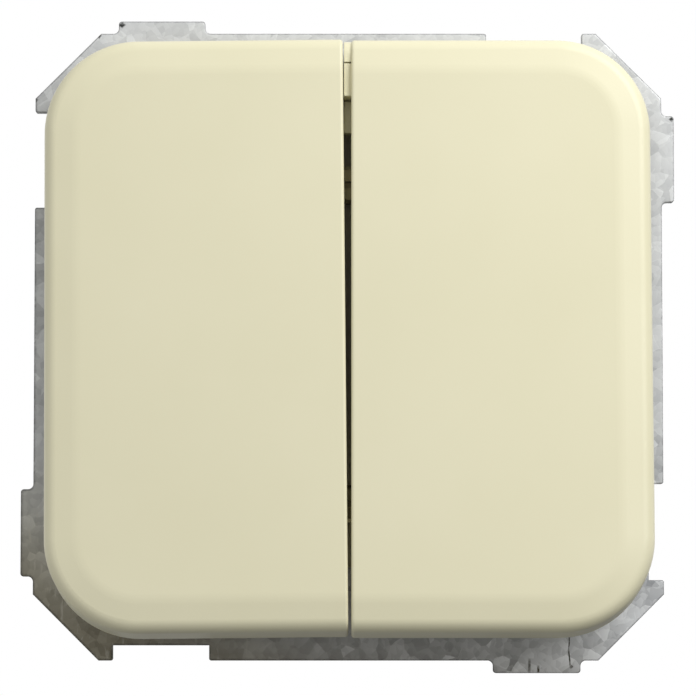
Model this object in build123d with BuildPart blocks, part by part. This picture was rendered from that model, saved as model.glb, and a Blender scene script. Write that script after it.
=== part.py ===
from build123d import *
from math import cos, radians, sin
import os

# Flush double light switch: two rocking half keys on an interlocking steel support frame,
# with the lever, sprung plunger and see-saw contact that each key works behind it.
# Millimetres. +X is right as seen from the room, +Z is up and +Y goes into the wall.
# The origin is the middle of the support frame's rear face, which lies on the wall.

# Support frame, a blanked sheet that hooks into its neighbours
frame_pitch = 71.0
frame_play = 0.2
frame_sheet = 1.0
frame_corner_cut = 7.4
tab_length = 9.8
tab_reach = 1.4
tab_to_corner = 2.0
notch_length = 10.8
notch_depth = 1.7
notch_to_corner = 1.6
tab_round = 0.35
tab_root_round = 0.6
notch_round = 0.25
box_screw_inset = 5.5
box_slot_width = 3.8
box_slot_length = 7.0

# Half keys
key_side_inset = 1.65
key_end_inset = 2.15
key_gap = 0.65
key_stand = 11.5
key_face = 2.2
key_wall = 1.8
key_corner = 10.6
key_edge_round = 1.6
key_crown_width = 3.6
key_crown_drop = 0.6
key_crown_round = 6.0
key_draft = 1.5
gap_edge_round = 0.35
gap_wall_depth = 4.5
skirt_clearance = 0.55
left_key_skew = 0.55
key_rib = 1.2
key_rib_depth = 2.4
key_rib_spacing = 40.0
spacer_reach = 0.82
spacer_to_end = 0.25
spacer_end_round = 1.6
spacer_split = 0.15
spacer_drop = 0.7
upper_spacer_length = 2.6
lower_spacer_length = 3.7
deep_spacer_drop = 3.0
deep_spacer_length = 3.6

# Clip that holds a key on its lever
clip_play = 0.2
clip_wall = 1.3
clip_depth = 3.8
barb_reach = 0.5
barb_height = 0.9
barb_length = 6.0
barb_to_mouth = 1.0
groove_play = 0.15

# Travel, each way from level
key_tilt = 4.5
contact_tilt = 7.0
stop_gap = 0.05

# Levers
pivot_stand = 0.5
pivot_radius = 1.5
pivot_play = 0.06
lever_width = 13.0
lever_length = 22.0
lever_wall = 1.5
lever_floor = 1.6
lever_play = 0.2
lever_web = 3.0
tube_radius = 3.1
tube_bore = 2.1
tube_reach = 7.2
tube_cap = 2.0
pivot_end_gap = 0.2

# Plungers and their springs
plunger_play = 0.07
plunger_nose = 1.2
plunger_cone = 1.5
plunger_guide = 3.6
plunger_gap = 0.1
spring_wire = 0.3
spring_wire_facets = 6
spring_play = 0.15
spring_turns = 4

# See-saw contacts
contact_depth = 12.0
contact_strip = 1.0
contact_width = 5.0
contact_arm = 11.5
contact_ear = 1.5
contact_ear_sheet = 0.6
contact_ear_length = 4.0
tip_radius = 1.6
tip_rim = 0.35
tip_dome = 0.35
tip_to_end = 1.0
tip_gap = 0.05
fixed_tip_height = 0.7

# Terminals
tongue_sheet = 1.0
fulcrum_nose = 0.6
fulcrum_gap = 0.05
fulcrum_side_play = 0.2
block_width = 6.6
block_length = 7.2
block_wall = 0.9
block_lip = 1.2
wire_radius = 1.6
line_terminal_offset = 6.2
load_terminal_offset = 10.4
seat_play = 0.1

# Screws
terminal_screw_radius = 1.5
terminal_head_radius = 2.6
terminal_head_height = 1.6
screw_slot_width = 0.7
screw_slot_depth = 0.8
head_bevel = 0.4
thread_play = 0.05
screw_tip_gap = 0.2
head_access = 0.3
cover_screw_radius = 1.1
cover_head_radius = 2.1
cover_head_height = 1.5
cover_screw_length = 11.0

# Cradle, the front moulding that carries the levers
mid_web = 4.6
cheek = 1.8
cheek_length = 9.0
cheek_cover = 2.4
cheek_mouth = 2.5
spigot_wall = 1.5
spigot_depth = 1.9
spigot_play = 0.15
deck = 1.3
flange_lap = 2.2
lever_window = 13.0
stop_rise = 0.75
stop_length = 2.0
stop_width = 10.0
hold_down_width = 3.6

# Base, the rear moulding that holds the contacts
mechanism_corner_cut = 7.0
base_wall = 1.6
base_flange = 3.2
base_floor = 2.0
arm_room = 1.5
chamber_mid_wall = 2.4
chamber_wall = 1.2
pocket_wall = 1.2
wire_window = 4.6
wire_window_round = 1.0
head_recess = 0.2
base_edge = 0.6

# Places that follow from the sizes above
press = radians(key_tilt)
swing = radians(contact_tilt)
frame_side = frame_pitch - frame_play
box_screw_spacing = frame_pitch - 2 * box_screw_inset
tab_middle = frame_side / 2 - frame_corner_cut - tab_to_corner - tab_length / 2
notch_middle = frame_side / 2 - frame_corner_cut - notch_to_corner - notch_length / 2
key_height = frame_side - 2 * key_end_inset
key_width = frame_side / 2 - key_side_inset - key_gap / 2
key_middle = key_gap / 2 + key_width / 2
lever_middle = mid_web / 2 + cheek + lever_play + lever_width / 2
lever_in_key = key_middle - lever_middle
cheek_inner = lever_width / 2 + lever_play
mechanism_x = lever_middle + cheek_inner + cheek + spigot_wall
chamber_end = contact_arm + arm_room
pocket_start = chamber_end + chamber_wall
pocket_width = block_width + 2 * seat_play
pocket_length = block_length + 2 * seat_play
terminal_z = pocket_start + pocket_length / 2
mechanism_z = pocket_start + pocket_length + pocket_wall
chamber_width = mechanism_x - base_wall - chamber_mid_wall / 2
chamber_middle = chamber_mid_wall / 2 + chamber_width / 2
deck_top = frame_sheet + deck

# Heights in a key's own frame, out from its pivot
face_height = key_stand - pivot_stand
ceiling = face_height - key_face
skirt = (frame_sheet + skirt_clearance - pivot_stand + key_height / 2 * sin(press)) / cos(press)
clip_mouth = ceiling - clip_depth
lever_base = (deck_top + stop_rise + stop_gap - pivot_stand + lever_length / 2 * sin(press)) / cos(press)
lever_top = ceiling - seat_play
bore_end = lever_base + lever_floor - tube_cap
nose_middle = pivot_stand + contact_depth - contact_strip - plunger_nose - plunger_gap
plunger_radius = tube_bore - plunger_play
plunger_back = tube_reach - plunger_guide
groove_low = clip_mouth + barb_to_mouth - groove_play

# Depths behind the wall
dome_radius = (tip_radius**2 + tip_dome**2) / (2 * tip_dome)
dome_centre = tip_rim + tip_dome - dome_radius
moving_tip_z = contact_arm - tip_to_end
fixed_tip_z = moving_tip_z * cos(swing) - dome_centre * sin(swing)
closed_depth = contact_depth + dome_centre * cos(swing) + moving_tip_z * sin(swing) + dome_radius
fixed_tip_depth = closed_depth + tip_gap
tongue_depth = fixed_tip_depth + fixed_tip_height
chamber_floor = tongue_depth + tongue_sheet + stop_gap
block_back = tongue_depth + tongue_sheet + block_lip
screw_tip = tongue_depth - screw_tip_gap
wire_depth = screw_tip - screw_tip_gap - wire_radius
block_front = wire_depth - wire_radius - block_wall
pocket_floor = block_back + stop_gap
screw_head = block_back + 2 * screw_tip_gap
tower_back = screw_head + terminal_head_height + head_recess
middle_back = chamber_floor + base_floor

# The wall's surface, facing the room: local x is right, y is up and z comes out of the wall
wall = Plane.XZ
sides = {"left": -1, "right": 1}
terminals = {"line": (line_terminal_offset, 1), "load": (load_terminal_offset, -1)}
os.makedirs("parts", exist_ok=True)


def behind(depth):
    """A plane parallel to the wall, this far behind its surface."""
    return wall.offset(-depth)


def finish(part, name):
    """Name a finished piece and write it."""
    part.label = name
    export_step(part, f"parts/{name}.step")


def mechanism_outline(plane, grow):
    """The mechanism's outline with its cut corners, grown or shrunk evenly."""
    with BuildSketch(plane) as outline:
        Rectangle(2 * mechanism_x, 2 * mechanism_z)
        chamfer(outline.vertices(), mechanism_corner_cut)
        if grow:
            offset(amount=grow, kind=Kind.INTERSECTION)
    return outline.sketch


def terminal_places(side):
    """Where the line and load terminals of one pole stand, as seen from the room."""
    return [(side * across, up * terminal_z) for across, up in terminals.values()]


def rocking_plane(middle, skew=0):
    """A plane through a lever's pivots, tipped as when the upper end is pressed, then turned in itself."""
    level = Plane(origin=(middle, -pivot_stand, 0), x_dir=(1, 0, 0), z_dir=(0, -1, 0))
    tipped = level.rotated((-key_tilt, 0, 0))
    turned = tipped.x_dir.rotate(Axis(tipped.origin, tipped.z_dir), skew)
    return Plane(tipped.origin, x_dir=turned, z_dir=tipped.z_dir)


def see_saw_plane(side):
    """The rear face of a see-saw strip, through its fulcrum, with the lower contact closed."""
    level = Plane(origin=(side * lever_middle, contact_depth, 0), x_dir=(1, 0, 0), z_dir=(0, -1, 0))
    return level.rotated((contact_tilt, 0, 0))


# Support frame
def blank_corners(blank, reach, middle, length):
    """The corners that lie this far out from the frame's middle, at both ends of its tabs or notches."""
    near = frame_play / 10
    level = blank.vertices().filter_by(lambda v: abs(max(abs(v.X), abs(v.Y)) - reach) < near)
    return level.filter_by(lambda v: abs(abs(min(abs(v.X), abs(v.Y)) - middle) - length / 2) < near)


with BuildPart() as support_frame:
    with BuildSketch(wall) as blank:
        Rectangle(frame_side, frame_side)
        chamfer(blank.vertices(), frame_corner_cut)
        with PolarLocations(0, 4):
            with Locations((-tab_middle, frame_side / 2)):
                Rectangle(tab_length, 2 * tab_reach)
            with Locations((notch_middle, frame_side / 2)):
                Rectangle(notch_length, 2 * notch_depth, mode=Mode.SUBTRACT)
        fillet(blank_corners(blank, frame_side / 2 + tab_reach, tab_middle, tab_length), tab_round)
        fillet(blank_corners(blank, frame_side / 2, notch_middle, notch_length), notch_round)
        fillet(blank_corners(blank, frame_side / 2, tab_middle, tab_length), tab_root_round)
    extrude(amount=frame_sheet)
    extrude(mechanism_outline(wall, spigot_play), amount=frame_sheet, mode=Mode.SUBTRACT)
    with BuildSketch(wall):
        with GridLocations(box_screw_spacing, 0, 2, 1):
            SlotOverall(box_slot_length, box_slot_width)
    extrude(amount=frame_sheet, mode=Mode.SUBTRACT)
finish(support_frame.part, "support_frame")


# Base
with BuildPart() as base:
    extrude(mechanism_outline(wall, flange_lap), amount=-base_flange)
    extrude(mechanism_outline(wall, 0), amount=-tower_back)
    with BuildSketch(behind(tower_back)):
        Rectangle(2 * mechanism_x, 2 * chamber_end)
    extrude(amount=tower_back - middle_back, mode=Mode.SUBTRACT)
    chamfer(base.faces().sort_by(Axis.Y)[-2:].edges(), base_edge)
    extrude(mechanism_outline(wall, spigot_play), amount=-spigot_depth - stop_gap, mode=Mode.SUBTRACT)
    with BuildSketch(wall):
        with GridLocations(2 * chamber_middle, 0, 2, 1):
            Rectangle(chamber_width, 2 * chamber_end)
        for side in sides.values():
            with Locations((side * line_terminal_offset, chamber_end)):
                Rectangle(block_width, 2 * chamber_wall + 2 * seat_play)
            with Locations((side * lever_middle, -chamber_end)):
                Rectangle(contact_width + 2 * seat_play, 2 * chamber_wall + 2 * seat_play)
    extrude(amount=-chamber_floor, mode=Mode.SUBTRACT)
    for side in sides.values():
        with BuildSketch(wall):
            with Locations(*terminal_places(side)):
                Rectangle(pocket_width, pocket_length)
        extrude(amount=-pocket_floor, mode=Mode.SUBTRACT)
        with BuildSketch(behind(tower_back)):
            with Locations(*terminal_places(side)):
                Circle(terminal_head_radius + head_access)
        extrude(amount=tower_back - pocket_floor, mode=Mode.SUBTRACT)
        for across, up in terminals.values():
            with BuildSketch(Plane.XY.offset(up * mechanism_z)):
                with Locations((side * across, wire_depth)):
                    RectangleRounded(wire_window, wire_window, wire_window_round)
            extrude(amount=-up * (pocket_wall + seat_play), mode=Mode.SUBTRACT)
    with BuildSketch(wall):
        with GridLocations(0, 2 * terminal_z, 1, 2):
            Circle(cover_screw_radius + thread_play)
    extrude(amount=-cover_screw_length, mode=Mode.SUBTRACT)
finish(base.part, "base")


# Cradle
with BuildPart() as cradle:
    spigot_height = spigot_depth + frame_sheet
    extrude(mechanism_outline(wall.offset(frame_sheet), flange_lap), amount=deck)
    extrude(mechanism_outline(behind(spigot_depth), 0), amount=spigot_height)
    extrude(mechanism_outline(behind(spigot_depth), -spigot_wall), amount=spigot_height, mode=Mode.SUBTRACT)
    for side in sides.values():
        with BuildSketch(wall.offset(frame_sheet)):
            with Locations((side * lever_middle, 0)):
                Rectangle(2 * cheek_inner, lever_window)
        extrude(amount=deck, mode=Mode.SUBTRACT)
        with BuildSketch(behind(spigot_depth)):
            with Locations((side * lever_middle, 0)):
                Rectangle(2 * (cheek_inner + cheek), cheek_length)
                Rectangle(2 * cheek_inner, cheek_length, mode=Mode.SUBTRACT)
        extrude(amount=spigot_depth + pivot_stand + cheek_cover)
        with BuildSketch(Plane.YZ.offset(side * lever_middle)):
            with Locations((-pivot_stand, 0)):
                Circle(pivot_radius + pivot_play)
            with Locations((-pivot_stand - cheek_cover / 2, 0)):
                Rectangle(cheek_cover, cheek_mouth)
        extrude(amount=cheek_inner + cheek, both=True, mode=Mode.SUBTRACT)
        with BuildSketch(wall.offset(deck_top)):
            with Locations((side * lever_middle, 0)):
                with GridLocations(0, lever_length - stop_length, 1, 2):
                    Rectangle(stop_width, stop_length)
        extrude(amount=stop_rise)
        with BuildSketch(behind(block_front - stop_gap)):
            with Locations(*terminal_places(side)):
                Rectangle(hold_down_width, hold_down_width)
        extrude(amount=block_front - stop_gap + frame_sheet)
    with BuildSketch(wall.offset(frame_sheet)):
        with GridLocations(0, 2 * terminal_z, 1, 2):
            Circle(cover_screw_radius + thread_play)
    extrude(amount=deck, mode=Mode.SUBTRACT)
finish(cradle.part, "cradle")


# Half keys
def half_key(name, side, skew):
    """A hollow key, clipped on its lever, with its skirt open to the wall. It is drawn level, then placed."""
    plane = Plane.XY
    outward = Axis.Z
    from_gap = Axis((0, 0, 0), (side, 0, 0))
    middle = side * lever_in_key
    gap_face = middle - side * key_width / 2
    inner_width = key_width - 2 * key_wall
    inner_height = key_height - 2 * key_wall
    outer_corners = -1 if side > 0 else 0
    trim = Plane((gap_face, 0, 0), x_dir=(0, 1, 0), z_dir=(side, 0, 0))
    with BuildPart() as key:
        # The drafted shell runs past the gap and is then trimmed, so that the gap's wall has no draft
        with BuildSketch(plane.offset(skirt)) as outline:
            with Locations((middle - side * key_corner / 2, 0)):
                Rectangle(key_width + key_corner, key_height)
            fillet(outline.vertices().group_by(Axis.X)[outer_corners], key_corner)
        extrude(amount=face_height - skirt, taper=key_draft)
        # The face falls away in a shallow crown before its edge turns down
        front = key.faces().sort_by(outward)[-1]
        chamfer(front.edges().sort_by(from_gap)[1:], key_crown_width, key_crown_drop, reference=front)
        fillet(key.edges().group_by(outward)[-3], key_edge_round)
        crown_edges = key.faces().sort_by(outward)[-1].edges().sort_by(from_gap)
        fillet(crown_edges[1:], key_crown_round)
        split(bisect_by=trim, keep=Keep.TOP)
        gap_edges = key.faces().sort_by(from_gap)[0].edges()
        fillet(gap_edges.sort_by(outward)[1:], gap_edge_round)
        with BuildSketch(plane.offset(skirt)) as hollow:
            with Locations((middle, 0)):
                Rectangle(inner_width, inner_height)
            fillet(hollow.vertices().group_by(Axis.X)[outer_corners], key_corner - key_wall)
        extrude(amount=ceiling - skirt, mode=Mode.SUBTRACT)
        with BuildSketch(plane.offset(skirt)):
            with Locations((gap_face, 0)):
                Rectangle(2 * key_wall, inner_height)
        extrude(amount=face_height - gap_wall_depth - skirt, mode=Mode.SUBTRACT)
        with BuildSketch(plane.offset(ceiling)):
            with Locations((middle, 0)):
                with GridLocations(0, key_rib_spacing, 1, 2):
                    Rectangle(inner_width + key_wall, key_rib)
        extrude(amount=-key_rib_depth)
        # Clip around the lever's head, with a barb at each end
        clip_width = lever_width + 2 * clip_play
        clip_length = lever_length + 2 * clip_play
        with BuildSketch(plane.offset(ceiling)):
            Rectangle(clip_width + 2 * clip_wall, clip_length + 2 * clip_wall)
            Rectangle(clip_width, clip_length, mode=Mode.SUBTRACT)
        extrude(amount=-clip_depth)
        with BuildSketch(plane.offset(clip_mouth + barb_to_mouth)):
            with GridLocations(0, clip_length, 1, 2):
                Rectangle(barb_length, 2 * barb_reach)
        extrude(amount=barb_height)
        if side > 0:
            # Spacers at the upper end keep the keys apart, and the lowest one is set deeper
            spacer_steps = (
                (upper_spacer_length, spacer_drop),
                (lower_spacer_length, spacer_drop),
                (deep_spacer_length, deep_spacer_drop),
            )
            upper_end = key_height / 2 - spacer_to_end
            with BuildSketch(trim) as spacers:
                for length, drop in spacer_steps:
                    with Locations((upper_end - length / 2, face_height - (gap_wall_depth + drop) / 2)):
                        Rectangle(length, gap_wall_depth - drop)
                    upper_end -= length + spacer_split
                end_corner = spacers.vertices().group_by(Axis.X)[-1].sort_by(Axis.Y)[-1]
                fillet(end_corner, spacer_end_round)
            extrude(amount=-spacer_reach)
    finish(rocking_plane(side * lever_middle, skew).location * key.part, f"{name}_key")


# Levers
def lever(name, side):
    """The rocking lever: an open head for the clip, pivots in the cradle and a tube for the plunger."""
    plane = rocking_plane(side * lever_middle)
    across = Plane(plane.origin, x_dir=plane.y_dir, z_dir=plane.x_dir)
    with BuildPart() as body:
        with BuildSketch(plane.offset(lever_base)):
            Rectangle(lever_width, lever_length)
        extrude(amount=lever_top - lever_base)
        with BuildSketch(plane.offset(lever_base + lever_floor)):
            Rectangle(lever_width - 2 * lever_wall, lever_length - 2 * lever_wall)
        extrude(amount=lever_top - lever_base - lever_floor, mode=Mode.SUBTRACT)
        with BuildSketch(plane):
            Rectangle(lever_width, lever_web)
        extrude(amount=lever_base)
        with BuildSketch(across):
            Circle(pivot_radius)
        extrude(amount=cheek_inner + cheek - pivot_end_gap, both=True)
        with BuildSketch(plane.offset(lever_base)):
            Circle(tube_radius)
        extrude(amount=-lever_base - tube_reach)
        with BuildSketch(plane.offset(-tube_reach)):
            Circle(tube_bore)
        extrude(amount=tube_reach + bore_end, mode=Mode.SUBTRACT)
        with BuildSketch(plane.offset(groove_low)):
            with GridLocations(0, lever_length, 1, 2):
                Rectangle(barb_length + 2 * groove_play, 2 * (barb_reach - clip_play + groove_play))
        extrude(amount=barb_height + 2 * groove_play, mode=Mode.SUBTRACT)
    finish(body.part, f"{name}_lever")


# Plungers
def section(plane):
    """A plane through another plane's axis: local x is the radius and local y the height."""
    return Plane(plane.origin, x_dir=plane.x_dir, z_dir=plane.x_dir.cross(plane.z_dir))


def plunger(name, side):
    """The sprung pin in a lever's tube, with a round nose that rides on the see-saw."""
    plane = rocking_plane(side * lever_middle)
    with BuildPart() as pin:
        with BuildSketch(section(plane)):
            with BuildLine():
                nose = CenterArc((0, -nose_middle), plunger_nose, -90, 90)
                shoulder = (plunger_radius, plunger_cone - nose_middle)
                Polyline(nose @ 1, shoulder, (plunger_radius, -plunger_back), (0, -plunger_back), nose @ 0)
            make_face()
        revolve(axis=Axis(plane.origin, plane.z_dir))
    finish(pin.part, f"{name}_plunger")


def spring(name, side):
    """The coil spring between the tube's closed end and the plunger."""
    plane = rocking_plane(side * lever_middle)
    height = bore_end + plunger_back - 2 * spring_wire - 2 * spring_play
    start = plane.from_local_coords((0, 0, spring_wire + spring_play - plunger_back))
    with BuildPart() as coil:
        with BuildLine() as turns:
            Helix(height / spring_turns, height, tube_bore - spring_play - spring_wire, start, plane.z_dir)
        with BuildSketch(Plane(turns.line @ 0, z_dir=turns.line % 0)):
            RegularPolygon(spring_wire, spring_wire_facets)
        sweep(path=turns.line, is_frenet=True)
    finish(coil.part, f"{name}_spring")


# See-saw contacts
def contact_rocker(name, side):
    """The see-saw strip, with two ears that keep it on its fulcrum."""
    plane = see_saw_plane(side)
    with BuildPart() as strip:
        with BuildSketch(plane) as outline:
            Rectangle(contact_width, 2 * contact_arm)
            fillet(outline.vertices(), tip_to_end)
        extrude(amount=contact_strip)
        with BuildSketch(plane.offset(contact_strip)):
            with GridLocations(contact_width + contact_ear_sheet, 0, 2, 1):
                Rectangle(contact_ear_sheet, contact_ear_length)
        extrude(amount=-contact_strip - contact_ear)
    finish(strip.part, f"{name}_contact_rocker")


def moving_tip(name, side):
    """The domed contact riveted under the see-saw's lower arm."""
    plane = see_saw_plane(side)
    seat = Plane(plane.from_local_coords((0, -moving_tip_z, 0)), x_dir=plane.x_dir, z_dir=plane.z_dir)
    with BuildPart() as tip:
        with BuildSketch(section(seat)):
            with BuildLine():
                rim = (tip_radius, -tip_rim)
                dome = RadiusArc(rim, (0, -tip_rim - tip_dome), dome_radius)
                Polyline(dome @ 1, (0, 0), (tip_radius, 0), rim)
            make_face()
        revolve(axis=Axis(seat.origin, seat.z_dir))
    finish(tip.part, f"{name}_moving_tip")


def fixed_tip(name, side):
    """The flat contact on the load terminal's tongue."""
    with BuildPart() as tip:
        with BuildSketch(behind(tongue_depth)):
            with Locations((side * lever_middle, -fixed_tip_z)):
                Circle(tip_radius)
        extrude(amount=fixed_tip_height)
        chamfer(tip.faces().sort_by(Axis.Y)[0].edges(), tip_rim / 2)
    finish(tip.part, f"{name}_fixed_tip")


# Terminals
def terminal(name, side, kind):
    """A block with a wire bore and a screw hole, and the tongue that carries a contact or a fulcrum."""
    across, up = terminals[kind]
    block_place = (side * across, up * terminal_z)
    inner_face = terminal_z - block_length / 2
    foot_start = chamber_end - contact_width / 2
    foot_end = chamber_end - seat_play
    if kind == "line":
        tongue_end = -2 * fulcrum_nose
        neck_middle = across
        neck_width = block_width - 2 * seat_play
    else:
        tongue_end = fixed_tip_z - tip_radius
        neck_middle = lever_middle
        neck_width = contact_width
    foot_left = neck_middle - neck_width / 2
    foot_right = lever_middle + contact_width / 2
    with BuildPart() as body:
        with BuildSketch(behind(block_back)):
            with Locations(block_place):
                Rectangle(block_width, block_length)
        extrude(amount=block_back - block_front)
        with BuildSketch(behind(tongue_depth + tongue_sheet)):
            with Locations((side * neck_middle, up * (foot_start + inner_face + block_wall) / 2)):
                Rectangle(neck_width, inner_face + block_wall - foot_start)
            with Locations((side * (foot_left + foot_right) / 2, up * (foot_start + foot_end) / 2)):
                Rectangle(foot_right - foot_left, foot_end - foot_start)
            with Locations((side * lever_middle, up * (foot_start + tongue_end) / 2)):
                Rectangle(contact_width, foot_start - tongue_end)
        extrude(amount=tongue_sheet)
        if kind == "line":
            nose_depth = contact_depth + fulcrum_gap + fulcrum_nose
            with BuildSketch(Plane.YZ.offset(side * lever_middle)):
                with Locations((nose_depth, 0)):
                    Circle(fulcrum_nose)
                with Locations(((nose_depth + tongue_depth) / 2, 0)):
                    Rectangle(tongue_depth - nose_depth, 2 * fulcrum_nose)
            extrude(amount=contact_width / 2 - fulcrum_side_play, both=True)
        with BuildSketch(Plane.XY.offset(up * (terminal_z + block_length / 2))):
            with Locations((side * across, wire_depth)):
                Circle(wire_radius)
        extrude(amount=-up * block_length, mode=Mode.SUBTRACT)
        with BuildSketch(behind(block_back)):
            with Locations(block_place):
                Circle(terminal_screw_radius + thread_play)
        extrude(amount=block_back - wire_depth, mode=Mode.SUBTRACT)
    finish(body.part, f"{name}_{kind}_terminal")


for side_name, side in sides.items():
    half_key(side_name, side, left_key_skew if side < 0 else 0)
    lever(side_name, side)
    plunger(side_name, side)
    spring(side_name, side)
    contact_rocker(side_name, side)
    moving_tip(side_name, side)
    fixed_tip(side_name, side)
    for kind in terminals:
        terminal(side_name, side, kind)


# Terminal screws, backed off to leave the wire bores free
with BuildPart() as terminal_screws:
    for side in sides.values():
        with BuildSketch(behind(screw_head)):
            with Locations(*terminal_places(side)):
                Circle(terminal_screw_radius)
        extrude(amount=screw_head - screw_tip)
        with BuildSketch(behind(screw_head)):
            with Locations(*terminal_places(side)):
                Circle(terminal_head_radius)
        extrude(amount=-terminal_head_height)
    rims = terminal_screws.faces().sort_by(Axis.Y)[-4:].edges()
    chamfer(rims, head_bevel)
    for side in sides.values():
        with BuildSketch(behind(screw_head + terminal_head_height)):
            with Locations(*terminal_places(side)):
                Rectangle(2 * terminal_head_radius, screw_slot_width)
        extrude(amount=screw_slot_depth, mode=Mode.SUBTRACT)
finish(terminal_screws.part, "terminal_screws")


# Cover screws, which clamp the cradle and the base on the support frame
with BuildPart() as cover_screws:
    with BuildSketch(wall.offset(deck_top)):
        with GridLocations(0, 2 * terminal_z, 1, 2):
            Circle(cover_screw_radius)
    extrude(amount=screw_tip_gap - deck_top - cover_screw_length)
    with BuildSketch(wall.offset(deck_top)):
        with GridLocations(0, 2 * terminal_z, 1, 2):
            Circle(cover_head_radius)
    extrude(amount=cover_head_height)
    rims = cover_screws.faces().sort_by(Axis.Y)[:2].edges()
    chamfer(rims, head_bevel)
    with BuildSketch(wall.offset(deck_top + cover_head_height)):
        with GridLocations(0, 2 * terminal_z, 1, 2):
            Rectangle(2 * cover_head_radius, screw_slot_width)
    extrude(amount=-screw_slot_depth, mode=Mode.SUBTRACT)
finish(cover_screws.part, "cover_screws")
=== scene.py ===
# %% [markdown]
# # A flush double light switch
#
# This lesson dresses a switch that was built in CAD: two ivory half keys on a galvanised support
# frame, with the moulded mechanism behind them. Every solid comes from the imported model, so nothing
# here moves a piece. The lesson adds a camera, light and the finishes of plastic, zinc, brass and steel.

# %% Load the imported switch
import math

import bpy
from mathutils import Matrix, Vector


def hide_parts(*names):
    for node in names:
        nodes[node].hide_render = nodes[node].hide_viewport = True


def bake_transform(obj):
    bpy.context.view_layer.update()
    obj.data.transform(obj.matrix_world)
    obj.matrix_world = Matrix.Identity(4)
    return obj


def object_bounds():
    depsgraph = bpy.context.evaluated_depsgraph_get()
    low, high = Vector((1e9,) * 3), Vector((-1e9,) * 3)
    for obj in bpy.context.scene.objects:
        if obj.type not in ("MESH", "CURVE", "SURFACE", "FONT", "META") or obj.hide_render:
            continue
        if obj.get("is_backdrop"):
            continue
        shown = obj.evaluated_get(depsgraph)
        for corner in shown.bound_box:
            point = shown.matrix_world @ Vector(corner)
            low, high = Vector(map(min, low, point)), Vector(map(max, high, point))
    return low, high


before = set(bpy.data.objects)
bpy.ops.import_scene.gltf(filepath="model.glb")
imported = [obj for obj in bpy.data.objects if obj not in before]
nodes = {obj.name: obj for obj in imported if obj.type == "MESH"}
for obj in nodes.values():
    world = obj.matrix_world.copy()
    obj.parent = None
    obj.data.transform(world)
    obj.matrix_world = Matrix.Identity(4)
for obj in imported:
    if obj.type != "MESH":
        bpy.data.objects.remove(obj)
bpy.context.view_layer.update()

# %% [markdown]
# ## Smooth and sharp
#
# A curved CAD face arrives as many flat triangles. Smooth shading blends the normals across them, and
# edges sharper than a chosen angle stay crisp. A fillet then looks round and a sheared sheet edge does
# not, with the mesh as it was.

# %% Shade the solids
crisp_angle = math.radians(32)


def shade_by_angle(piece, angle):
    """Blend normals over gentle bends of a mesh and keep its sharp edges."""
    piece.data.shade_smooth()
    piece.data.set_sharp_from_angle(angle=angle)


for piece in nodes.values():
    shade_by_angle(piece, crisp_angle)
print("shaded", len(nodes), "pieces, crisp above", round(math.degrees(crisp_angle)), "degrees")

# %% [markdown]
# ## The camera
#
# The photograph was taken from straight in front with a long lens, a little below the switch's middle:
# the lower rims of the keys show and the upper ones don't. A long lens keeps the two sides nearly
# parallel, so the distance is chosen first and the focal length follows from the width of the view.

# %% Place the camera
camera_distance = 0.440
camera_elevation = math.radians(-4.1)
view_width = 0.0786
aim_point = Vector((-0.00004, 0.0, -0.00022))
sensor_width = 36.0

camera_data = bpy.data.cameras.new("long lens")
camera_data.sensor_width = sensor_width
camera_data.lens = sensor_width * camera_distance / view_width
camera_data.clip_start = 0.01
camera = bpy.data.objects.new("long lens", camera_data)
bpy.context.scene.collection.objects.link(camera)
towards_camera = Vector((0, -math.cos(camera_elevation), math.sin(camera_elevation)))
camera.location = aim_point + camera_distance * towards_camera
camera.rotation_euler = (-towards_camera).to_track_quat("-Z", "Y").to_euler()
bpy.context.scene.camera = camera
bpy.context.scene.view_settings.view_transform = "Standard"
print("lens", round(camera_data.lens, 1), "mm at", round(1000 * camera_distance), "mm")

# %% [markdown]
# ## Building blocks for finishes
#
# Every finish below is a Principled shader fed by procedural textures. Small helpers keep the node
# code short: one makes an empty group with named sockets, one starts a material, and one adds a node
# and links or sets its inputs in a single call.

# %% Make the helpers
def add_node(tree, kind, settings=None, **inputs):
    """Add a node, set its own settings, and set or link its inputs by name."""
    node = tree.nodes.new(kind)
    for name, value in (settings or {}).items():
        setattr(node, name, value)
    for name, value in inputs.items():
        socket = node.inputs[int(name[1:])] if name[1:].isdigit() else node.inputs[name.replace("_", " ")]
        if isinstance(value, bpy.types.NodeSocket):
            tree.links.new(value, socket)
        else:
            socket.default_value = value
    return node


def start_group(name, inputs, outputs):
    """An empty shader group with named inputs and outputs, and its two end nodes."""
    tree = bpy.data.node_groups.new(name, "ShaderNodeTree")
    for label, (kind, value) in inputs.items():
        tree.interface.new_socket(label, in_out="INPUT", socket_type=kind).default_value = value
    for label, kind in outputs.items():
        tree.interface.new_socket(label, in_out="OUTPUT", socket_type=kind)
    return tree, tree.nodes.new("NodeGroupInput").outputs, tree.nodes.new("NodeGroupOutput").inputs


def start_material(name):
    """An empty material with its Principled shader."""
    material = bpy.data.materials.new(name)
    material.use_nodes = True
    return material, material.node_tree, material.node_tree.nodes["Principled BSDF"]


def use_group(tree, group, **inputs):
    """Place a group in a material and set its inputs."""
    return add_node(tree, "ShaderNodeGroup", {"node_tree": group}, **inputs).outputs


def colour(red, green, blue):
    """An 0 to 255 screen colour as the linear colour that shaders take."""
    channels = [c / 255 for c in (red, green, blue)]
    return [c / 12.92 if c <= 0.04045 else ((c + 0.055) / 1.055) ** 2.4 for c in channels] + [1.0]


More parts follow.
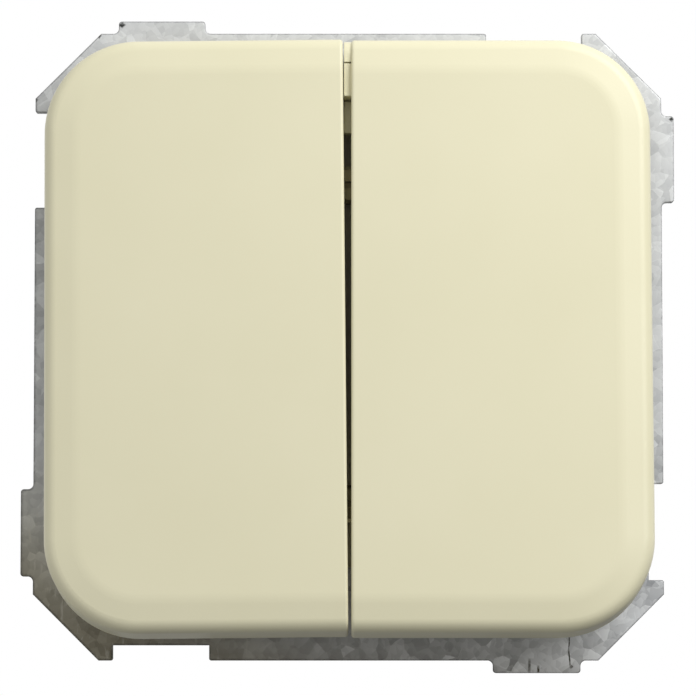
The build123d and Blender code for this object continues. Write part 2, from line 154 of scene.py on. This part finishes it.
def blend(tree, factor, first, second, mode="MIX"):
    """Mix two colours, each a value or a socket."""
    node = tree.nodes.new("ShaderNodeMix")
    node.data_type = "RGBA"
    node.blend_type = mode
    for socket, value in zip((node.inputs[0], node.inputs[6], node.inputs[7]), (factor, first, second)):
        if isinstance(value, bpy.types.NodeSocket):
            tree.links.new(value, socket)
        else:
            socket.default_value = value
    return node.outputs[2]


def span(tree, value, low, high, from_low=0.0, from_high=1.0):
    """Bring a value from one range into another."""
    return add_node(tree, "ShaderNodeMapRange", Value=value, From_Min=from_low, From_Max=from_high,
                    To_Min=low, To_Max=high).outputs["Result"]


def calculate(tree, operation, first, second):
    """One step of arithmetic on values or sockets."""
    return add_node(tree, "ShaderNodeMath", {"operation": operation}, _0=first, _1=second).outputs[0]


def dress(material, *names):
    """Give pieces of the switch one material."""
    for name in names:
        nodes[name].data.materials.clear()
        nodes[name].data.materials.append(material)
    print(material.name, "on", ", ".join(names))


print("helpers ready")

# %% [markdown]
# ## Light
#
# The photograph has soft light. Two lamps stand up on the right, and the small one is close enough for
# the faces to fade towards their lower left corner. The room fills in from the left. Its light is a
# lobe that is strongest along one direction and fades to nothing at right angles to it. A second, weaker
# lobe from behind shows the mechanism in views from the back. Little comes from below.

# %% Light the studio
def aim_at(thing, target):
    """Turn a lamp or camera so that it looks at a point."""
    thing.rotation_euler = (Vector(target) - thing.location).to_track_quat("-Z", "Y").to_euler()


def soft_lamp(name, place, side, watts):
    """A square area lamp that looks at the switch."""
    lamp_data = bpy.data.lights.new(name, "AREA")
    lamp_data.size = side
    lamp_data.energy = watts
    lamp = bpy.data.objects.new(name, lamp_data)
    bpy.context.scene.collection.objects.link(lamp)
    lamp.location = place
    aim_at(lamp, aim_point)
    return lamp


lamps = [
    soft_lamp("broad lamp", (0.30, -0.30, 0.20), 0.30, 1.31),
    soft_lamp("near lamp", (0.13, -0.12, 0.21), 0.12, 0.30),
]
for lamp in lamps:
    print(lamp.name, "at", [round(c, 2) for c in lamp.location], "of", round(lamp.data.energy, 2), "W")

# %% Light the room
room_lobes = {
    "left front": ((-0.7, -0.7, 0.17), 0.735),
    "behind": ((0, 0.93, 0.37), 0.55),
}

world = bpy.data.worlds.new("pale room")
bpy.context.scene.world = world
world.use_nodes = True
room = world.node_tree
room.nodes.clear()
direction = add_node(room, "ShaderNodeTexCoord").outputs["Generated"]
brightness = 0.0
for towards, strength in room_lobes.values():
    facing = add_node(room, "ShaderNodeVectorMath", {"operation": "DOT_PRODUCT"}, _0=direction, _1=towards)
    lobe = calculate(room, "MULTIPLY", calculate(room, "MAXIMUM", facing.outputs["Value"], 0.0), strength)
    brightness = calculate(room, "ADD", brightness, lobe)
print("room lobes", {side: lobe[1] for side, lobe in room_lobes.items()})

# %% [markdown]
# ## A white background
#
# The background is plain white. The camera sees it everywhere. Metal and glass see it too where it is,
# which is behind the switch, while a gloss that faces the camera shows the lit room. Light Path tells
# these rays from those that light the switch, so the white adds no light to it.

# %% Whiten the background
ray = add_node(room, "ShaderNodeLightPath").outputs
depth = add_node(room, "ShaderNodeSeparateXYZ", Vector=direction).outputs["Y"]
gloss_or_glass = calculate(room, "MAXIMUM", ray["Is Glossy Ray"], ray["Is Transmission Ray"])
sees_behind = calculate(room, "MULTIPLY", gloss_or_glass, calculate(room, "GREATER_THAN", depth, 0.0))
sees_white = calculate(room, "MAXIMUM", ray["Is Camera Ray"], sees_behind)
shown = add_node(room, "ShaderNodeMix", Factor=sees_white, A=brightness, B=1.0).outputs["Result"]
sky = add_node(room, "ShaderNodeBackground", Color=(1, 1, 1, 1), Strength=shown)
add_node(room, "ShaderNodeOutputWorld", Surface=sky.outputs["Background"])
print("background white for the camera, and behind the switch for gloss and glass")

# %% [markdown]
# ## The floor
#
# The switch hangs where its wall box would hold it, so the floor is a plain plane some way under it. It
# is out of the picture from the front, and takes the soft shadow in views from above. It sends no light
# back up, because the undersides in the photograph are dark.

# %% Lay the floor
floor_drop = 0.16
floor_side = 1.6

bpy.ops.mesh.primitive_plane_add(size=floor_side, location=(0, 0, -floor_drop))
floor = bpy.context.object
floor.name = "pale floor"
floor.visible_diffuse = False
floor.visible_shadow = False
floor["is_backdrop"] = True
print("floor", round(1000 * floor_drop), "mm under the switch's middle")

# %% [markdown]
# ## Moulded grain
#
# A moulded plastic is never quite even. Its colour clouds a little over some millimetres, and its skin
# has a very fine grain from the spark-eroded mould. Both are noise, at two scales, so one group gives
# the cloud as a mask and the grain as a height. Metres are the unit, so a scale of 1000 is a millimetre.

# %% Group: moulded grain
moulded_grain, given, result = start_group(
    "moulded grain",
    {"Cloud Scale": ("NodeSocketFloat", 60.0), "Grain Scale": ("NodeSocketFloat", 3000.0)},
    {"Cloud": "NodeSocketFloat", "Grain": "NodeSocketFloat"})
place = add_node(moulded_grain, "ShaderNodeTexCoord").outputs["Object"]
cloud = add_node(moulded_grain, "ShaderNodeTexNoise", Vector=place, Scale=given["Cloud Scale"], Detail=3.0)
grain = add_node(moulded_grain, "ShaderNodeTexNoise", Vector=place, Scale=given["Grain Scale"], Detail=2.0)
moulded_grain.links.new(cloud.outputs["Fac"], result["Cloud"])
moulded_grain.links.new(grain.outputs["Fac"], result["Grain"])
print("group", moulded_grain.name, "with", len(moulded_grain.nodes), "nodes")

# %% [markdown]
# ## Softened edges
#
# No real edge is perfectly sharp. The Bevel node rounds the shading normal within a small radius, so
# edges catch a fine line of light without more mesh. Where the rounded normal departs from the true one
# there is an edge, which gives a mask for wear.

# %% Group: softened edges
softened_edges, given, result = start_group(
    "softened edges",
    {"Radius": ("NodeSocketFloat", 0.0002)},
    {"Normal": "NodeSocketVector", "Edge": "NodeSocketFloat"})
bevel = add_node(softened_edges, "ShaderNodeBevel", {"samples": 6}, Radius=given["Radius"])
true_normal = add_node(softened_edges, "ShaderNodeNewGeometry").outputs["Normal"]
likeness = add_node(softened_edges, "ShaderNodeVectorMath", {"operation": "DOT_PRODUCT"},
                    _0=bevel.outputs["Normal"], _1=true_normal)
edge = span(softened_edges, likeness.outputs["Value"], 1.0, 0.0, 0.75, 0.99)
softened_edges.links.new(bevel.outputs["Normal"], result["Normal"])
softened_edges.links.new(edge, result["Edge"])
print("group", softened_edges.name, "with", len(softened_edges.nodes), "nodes")

# %% [markdown]
# ## Dust and painted shade in corners
#
# Dust gathers where two surfaces meet, and the shade that falls there is painted in with it. The Ambient
# Occlusion node measures how shut in a point is, and noise breaks the result up. The group gives a mask
# of dust and painted shade that is 1 deep in a corner.

# %% Group: corner dust and painted shade
corner_dust_and_shade, given, result = start_group(
    "corner dust",
    {"Reach": ("NodeSocketFloat", 0.002)},
    {"Dust And Shade": "NodeSocketFloat"})
shut_in = add_node(corner_dust_and_shade, "ShaderNodeAmbientOcclusion", {"samples": 6}, Distance=given["Reach"])
place = add_node(corner_dust_and_shade, "ShaderNodeTexCoord").outputs["Object"]
broken = add_node(corner_dust_and_shade, "ShaderNodeTexNoise", Vector=place, Scale=900.0, Detail=3.0)
depth = span(corner_dust_and_shade, shut_in.outputs["AO"], 1.0, 0.0, 0.15, 0.75)
patches = span(corner_dust_and_shade, broken.outputs["Fac"], 0.5, 1.0, 0.3, 0.7)
dust_and_shade = calculate(corner_dust_and_shade, "MULTIPLY", depth, patches)
corner_dust_and_shade.links.new(dust_and_shade, result["Dust And Shade"])
print("group", corner_dust_and_shade.name, "with", len(corner_dust_and_shade.nodes), "nodes")

# %% [markdown]
# ## Ivory keys
#
# The keys are moulded in a warm ivory with a satin skin. The colour clouds by a shade or so, the grain
# only breaks up the highlight, and edges that fingers pass over are a little smoother.

# %% Moulded plastics
# Dust and painted shade darken the plastics where parts meet, in this colour and share.
dust_and_shade_colour = colour(120, 112, 84)
dust_and_shade_share = 0.18
plastic_ior = 1.5


def moulded_plastic(name, tone, shade, rough, grain_scale, grain_depth, edge_radius):
    """A moulded plastic: clouded colour, dust and painted shade in corners, fine grain and softened edges.
    """
    material, tree, shader = start_material(name)
    texture = use_group(tree, moulded_grain, Grain_Scale=grain_scale)
    edges = use_group(tree, softened_edges, Radius=edge_radius)
    dust_and_shade = use_group(tree, corner_dust_and_shade)
    clouded = blend(tree, span(tree, texture["Cloud"], 0.0, 1.0, 0.3, 0.7), tone, shade)
    dusty_and_shaded = blend(tree, calculate(tree, "MULTIPLY", dust_and_shade["Dust And Shade"], dust_and_shade_share), clouded, dust_and_shade_colour)
    tree.links.new(dusty_and_shaded, shader.inputs["Base Color"])
    satin = span(tree, texture["Cloud"], rough - 0.04, rough + 0.04, 0.3, 0.7)
    tree.links.new(calculate(tree, "SUBTRACT", satin, calculate(tree, "MULTIPLY", edges["Edge"], 0.06)),
                   shader.inputs["Roughness"])
    bump = add_node(tree, "ShaderNodeBump", Strength=0.35, Distance=grain_depth, Height=texture["Grain"],
                    Normal=edges["Normal"])
    tree.links.new(bump.outputs["Normal"], shader.inputs["Normal"])
    shader.inputs["IOR"].default_value = plastic_ior
    return material


ivory_key = moulded_plastic("ivory key", colour(234, 229, 197), colour(231, 226, 193),
                            rough=0.40, grain_scale=4000.0, grain_depth=0.00001, edge_radius=0.00015)
dress(ivory_key, "left_key", "right_key")

# %% [markdown]
# ## Mouldings behind the keys
#
# The cradle is the same ivory with a coarser skin. The base is a grey thermoset, which is harder,
# duller and more clouded. Levers and plungers are white nylon, which has a waxy skin. One function
# makes them all, with its own values for each.

# %% Dress the mouldings
ivory_moulding = moulded_plastic("ivory moulding", colour(224, 218, 190), colour(216, 209, 180),
                                 rough=0.52, grain_scale=2500.0, grain_depth=0.00002, edge_radius=0.0001)
dress(ivory_moulding, "cradle")
grey_moulding = moulded_plastic("grey moulding", colour(206, 203, 192), colour(192, 188, 176),
                                rough=0.55, grain_scale=2200.0, grain_depth=0.00003, edge_radius=0.0002)
dress(grey_moulding, "base")
white_nylon = moulded_plastic("white nylon", colour(236, 236, 230), colour(228, 228, 220),
                              rough=0.38, grain_scale=3000.0, grain_depth=0.00001, edge_radius=0.0001)
dress(white_nylon, "left_lever", "right_lever", "left_plunger", "right_plunger")

# %% [markdown]
# ## Galvanised sheet
#
# Hot-dip zinc freezes in crystals about a millimetre wide, each with its own tone and its own lean, which
# is painted as shading from one side to the other. Two sizes of Voronoi cells give the crystals and a noise
# clouds them. They stand out most at the lower right, where little light falls straight on the sheet, so
# a painted contrast grows along that direction.

# %% Grow zinc crystals
large_crystals, small_crystals = 620.0, 1500.0
dull_zinc, bright_zinc = colour(166, 168, 171), colour(252, 254, 255)
lower_right = (0.5, 0.0, -0.86)

galvanised, tree, shader = start_material("galvanised sheet")
place = add_node(tree, "ShaderNodeTexCoord").outputs["Object"]


def dot(first, second):
    """The dot product of two vectors, which tells how far one lies along the other."""
    product = add_node(tree, "ShaderNodeVectorMath", {"operation": "DOT_PRODUCT"}, _0=first, _1=second)
    return product.outputs["Value"]


def crystals(scale, lean):
    """Voronoi cells, each with a random tone and painted shading along its own direction."""
    cell = add_node(tree, "ShaderNodeTexVoronoi", Vector=bent, Scale=scale).outputs
    tone = add_node(tree, "ShaderNodeSeparateColor", Color=cell["Color"]).outputs["Red"]
    inside = add_node(tree, "ShaderNodeVectorMath", {"operation": "SUBTRACT"}, _0=bent, _1=cell["Position"])
    slope = dot(inside.outputs["Vector"], cell["Color"])
    return calculate(tree, "ADD", tone, calculate(tree, "MULTIPLY", slope, lean * scale))


wander = add_node(tree, "ShaderNodeTexNoise", Vector=place, Scale=700.0, Detail=2.0)
bent = blend(tree, 0.0002, place, wander.outputs["Color"], "LINEAR_LIGHT")
cloud = add_node(tree, "ShaderNodeTexNoise", Vector=place, Scale=260.0, Detail=4.0).outputs["Fac"]
spangle = 0.0
layers = [(crystals(large_crystals, 0.3), 0.5), (crystals(small_crystals, 0.2), 0.25), (cloud, 0.25)]
for tone, share in layers:
    spangle = calculate(tree, "ADD", spangle, calculate(tree, "MULTIPLY", tone, share))
# Painted shade: the crystals' contrast grows towards the lower right.
contrast = span(tree, dot(place, lower_right), 0.65, 1.2, 0.022, 0.04)
stands_out = calculate(tree, "MULTIPLY", calculate(tree, "SUBTRACT", spangle, 0.5), contrast)
zinc = blend(tree, calculate(tree, "ADD", stands_out, 0.5), dull_zinc, bright_zinc)
tree.links.new(span(tree, spangle, 0.62, 0.44, 0.2, 0.8), shader.inputs["Roughness"])
shader.inputs["Metallic"].default_value = 0.5
crystal_sizes = [round(1000 / scale, 1) for scale in (large_crystals, small_crystals)]
print("zinc crystals of about", crystal_sizes, "mm")

# %% [markdown]
# ## Marks on the sheet
#
# Corners of the blank have lost their zinc in small nicks, and three upright drag marks run down to the
# lower tab. Both lie on the room side only. A mark is 1 near its middle line or point and fades within
# its width.

# %% Nick and scratch the sheet
drag_marks = [(0.02027, -0.0369, -0.0351, 0.0004), (0.02127, -0.0369, -0.0358, 0.0003),
              (0.02474, -0.0361, -0.0325, 0.0002)]
nicks = [(-0.0256, 0.0364, 0.0005), (-0.0282, 0.0351, 0.0004), (-0.0354, 0.0279, 0.0004),
         (0.0365, 0.0257, 0.0004), (0.0259, -0.0368, 0.0003), (0.0249, -0.0361, 0.0003)]
bare_steel = colour(44, 46, 44)
middle_of_sheet = -0.0005

sheet = add_node(tree, "ShaderNodeSeparateXYZ", Vector=bent).outputs
break_up = span(tree, crystals(2600.0, 0.0), 0.65, 1.0, 0.2, 0.6)


def away(value, middle):
    """How far a value lies from a middle, on either side."""
    return calculate(tree, "ABSOLUTE", calculate(tree, "SUBTRACT", value, middle), 0.0)


bare = 0.0
for across, low, high, width in drag_marks:
    half = (high - low) / 2
    line = span(tree, away(sheet["X"], across), 1.0, 0.0, width / 4, width / 2)
    length = span(tree, away(sheet["Z"], (low + high) / 2), 1.0, 0.0, half - width, half)
    bare = calculate(tree, "MAXIMUM", bare, calculate(tree, "MULTIPLY", line, length))
for across, height, size in nicks:
    reach = calculate(tree, "ADD", away(sheet["X"], across), away(sheet["Z"], height))
    bare = calculate(tree, "MAXIMUM", bare, span(tree, reach, 1.0, 0.0, size / 2, size))
room_side = calculate(tree, "LESS_THAN", sheet["Y"], middle_of_sheet)
bare = calculate(tree, "MULTIPLY", bare, room_side)
marked = blend(tree, calculate(tree, "MULTIPLY", bare, break_up), zinc, bare_steel)
print("sheet with", len(drag_marks), "drag marks and", len(nicks), "nicks")

# %% [markdown]
# ## Age and painted shade on the sheet
#
# Painted shade darkens the left and lower sides, where the keys shadow the sheet, and the lower left is
# brown with pale scuffs. Shearing left a dark line along every edge, widened towards that corner by
# painted shade. Dust and painted shade lie where the keys overhang the sheet.

# %% Age the sheet and paint its shade
left, low_side = (-1.0, 0.0, 0.0), (-0.2, 0.0, -0.98)
lower_left, shaded_edges = (-0.6, 0.0, -0.8), (-0.8, 0.0, -0.6)
painted_shade_colour, brown_film, pale_scuff = colour(104, 94, 68), colour(243, 238, 220), colour(206, 202, 188)
sheared_steel_and_shade, sheet_dust_and_shade = colour(50, 50, 48), colour(92, 86, 68)
streak_turn, streak_scale = (0.0, 0.5, 0.0), (2600.0, 2600.0, 500.0)

# Painted shade: darker towards the left and lower sides, where the keys shadow the sheet.
left_painted_shade = span(tree, dot(place, left), 0.0, 0.06, 0.028, 0.034)
low_painted_shade = span(tree, dot(place, low_side), 0.0, 0.66, 0.024, 0.0375)
with_painted_shade = blend(tree, calculate(tree, "MAXIMUM", left_painted_shade, low_painted_shade), marked, painted_shade_colour)
browned = span(tree, dot(place, lower_left), 0.0, 1.0, 0.03, 0.042)
filmed = blend(tree, browned, with_painted_shade, brown_film, "MULTIPLY")
drawn = add_node(tree, "ShaderNodeMapping", Vector=bent, Rotation=streak_turn, Scale=streak_scale)
streak = add_node(tree, "ShaderNodeTexNoise", Vector=drawn.outputs["Vector"], Scale=1.0, Detail=2.0)
scuff = calculate(tree, "MULTIPLY", span(tree, streak.outputs["Fac"], 0.0, 0.45, 0.6, 0.7), browned)
scuffed = blend(tree, scuff, filmed, pale_scuff)
# The edge line is sheared steel, widened towards the lower left by painted shade.
edge_width = span(tree, dot(place, shaded_edges), 0.0003, 0.0007, 0.0, 0.036)
edges = use_group(tree, softened_edges, Radius=edge_width)
sheared_and_shaded = blend(tree, calculate(tree, "MULTIPLY", edges["Edge"], break_up), scuffed, sheared_steel_and_shade)
# Dust and painted shade where the keys overhang the sheet.
dust_and_shade = use_group(tree, corner_dust_and_shade, Reach=0.004)
dusty_and_shaded = blend(tree, calculate(tree, "MULTIPLY", dust_and_shade["Dust And Shade"], 0.35), sheared_and_shaded, sheet_dust_and_shade)
tree.links.new(dusty_and_shaded, shader.inputs["Base Color"])
ripple = add_node(tree, "ShaderNodeBump", Strength=0.2, Distance=0.00005, Height=spangle,
                  Normal=edges["Normal"])
tree.links.new(ripple.outputs["Normal"], shader.inputs["Normal"])
dress(galvanised, "support_frame")

# %% [markdown]
# ## Plain metals
#
# Screws, springs, brass and silver share one recipe: a metal with fine drawn scratches, a tarnish that
# clouds its colour and gathers in corners, and edges that stay brighter. The scratches are a noise that
# is stretched along one direction.

# %% Dress the metals
def worked_metal(name, bright, tarnished, rough, stretch):
    """A metal with drawn scratches, clouds of tarnish and bright edges."""
    material, tree, shader = start_material(name)
    place = add_node(tree, "ShaderNodeTexCoord").outputs["Object"]
    drawn = add_node(tree, "ShaderNodeMapping", Vector=place, Scale=stretch).outputs["Vector"]
    scratch = add_node(tree, "ShaderNodeTexNoise", Vector=drawn, Scale=1.0, Detail=4.0).outputs["Fac"]
    texture = use_group(tree, moulded_grain, Cloud_Scale=350.0)
    edges = use_group(tree, softened_edges, Radius=0.0001)
    dust_and_shade = use_group(tree, corner_dust_and_shade, Reach=0.0015)
    stain = calculate(tree, "MAXIMUM", span(tree, texture["Cloud"], 0.0, 0.6, 0.45, 0.75), dust_and_shade["Dust And Shade"])
    worn = calculate(tree, "SUBTRACT", stain, calculate(tree, "MULTIPLY", edges["Edge"], 0.5))
    tree.links.new(blend(tree, worn, bright, tarnished), shader.inputs["Base Color"])
    tree.links.new(span(tree, scratch, rough - 0.1, rough + 0.1, 0.3, 0.7), shader.inputs["Roughness"])
    shader.inputs["Metallic"].default_value = 1.0
    bump = add_node(tree, "ShaderNodeBump", Strength=0.2, Distance=0.00002, Height=scratch,
                    Normal=edges["Normal"])
    tree.links.new(bump.outputs["Normal"], shader.inputs["Normal"])
    return material


drawn_upright = (6000.0, 6000.0, 300.0)
drawn_inward = (6000.0, 300.0, 6000.0)
dress(worked_metal("terminal brass", colour(214, 178, 104), colour(160, 122, 62), 0.34, drawn_upright),
      "left_line_terminal", "right_line_terminal", "left_load_terminal", "right_load_terminal")
dress(worked_metal("contact brass", colour(216, 170, 108), colour(168, 116, 66), 0.32, drawn_upright),
      "left_contact_rocker", "right_contact_rocker")
dress(worked_metal("silver tips", colour(226, 225, 220), colour(150, 146, 138), 0.28, drawn_inward),
      "left_moving_tip", "right_moving_tip", "left_fixed_tip", "right_fixed_tip")
dress(worked_metal("spring steel", colour(176, 176, 176), colour(120, 118, 114), 0.32, drawn_inward),
      "left_spring", "right_spring")
dress(worked_metal("plated screws", colour(150, 141, 104), colour(96, 88, 60), 0.36, drawn_inward),
      "terminal_screws", "cover_screws")

# %% [markdown]
# ## Spring coils
#
# Each spring stands between the closed end of its lever's tube and its plunger. A copy of the CAD coil
# takes its place, and the CAD coil is hidden.

# %% Copy the springs
for side in ("left", "right"):
    wound = nodes[f"{side}_spring"]
    coil = bpy.data.objects.new(f"{side}_coil", wound.data.copy())
    bpy.context.scene.collection.objects.link(coil)
    coil.matrix_world = wound.matrix_world
    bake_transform(coil)
    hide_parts(wound.name)

# %% [markdown]
# ## The floor's finish
#
# The floor is a dull card with the faintest mottle. A glow that lights nothing lifts it to the white of
# the background, and the switch's shadow stays on it. The camera sees the whole glow. Gloss and glass see
# a part of it, because the undersides in the photograph are dark. Far off, the floor fades into the
# background, and from below it is clear, so that it never hides the switch.

# %% Dress the floor
glow = 0.82
glow_in_gloss = 0.05
fade_from, fade_to = 0.2, 0.7
card_shade, card_tone = colour(170, 170, 168), colour(178, 178, 176)

card, tree, shader = start_material("dull card")
mottle = add_node(tree, "ShaderNodeTexNoise", Scale=30.0, Detail=3.0).outputs["Fac"]
tree.links.new(blend(tree, mottle, card_shade, card_tone), shader.inputs["Base Color"])
shader.inputs["Roughness"].default_value = 0.9
ray = add_node(tree, "ShaderNodeLightPath").outputs
gloss_or_glass = calculate(tree, "MAXIMUM", ray["Is Glossy Ray"], ray["Is Transmission Ray"])
sees_some = calculate(tree, "MULTIPLY", gloss_or_glass, glow_in_gloss)
sees_all = calculate(tree, "MULTIPLY", ray["Is Camera Ray"], glow)
shader.inputs["Emission Color"].default_value = (1, 1, 1, 1)
tree.links.new(calculate(tree, "MAXIMUM", sees_all, sees_some), shader.inputs["Emission Strength"])
place = add_node(tree, "ShaderNodeTexCoord").outputs["Object"]
reach = add_node(tree, "ShaderNodeVectorMath", {"operation": "LENGTH"}, _0=place).outputs["Value"]
fade = span(tree, reach, 0.0, 1.0, fade_from, fade_to)
far_off = calculate(tree, "MULTIPLY", fade, ray["Is Camera Ray"])
from_below = add_node(tree, "ShaderNodeNewGeometry").outputs["Backfacing"]
cleared = calculate(tree, "MAXIMUM", from_below, far_off)
clear = add_node(tree, "ShaderNodeBsdfTransparent").outputs["BSDF"]
fading = add_node(tree, "ShaderNodeMixShader", Fac=cleared, _1=shader.outputs["BSDF"], _2=clear)
tree.links.new(fading.outputs["Shader"], tree.nodes["Material Output"].inputs["Surface"])
card.cycles.emission_sampling = "NONE"
floor.data.materials.append(card)
print("floor dressed, with a glow of", glow, "for the camera")

# %% [markdown]
# ## The size of the switch
#
# The finishes don't change any dimension, so the box of the dressed switch is the box that CAD gave.

# %% Finish
low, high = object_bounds()
print("visual size in mm:", [round(1000 * side, 1) for side in high - low])
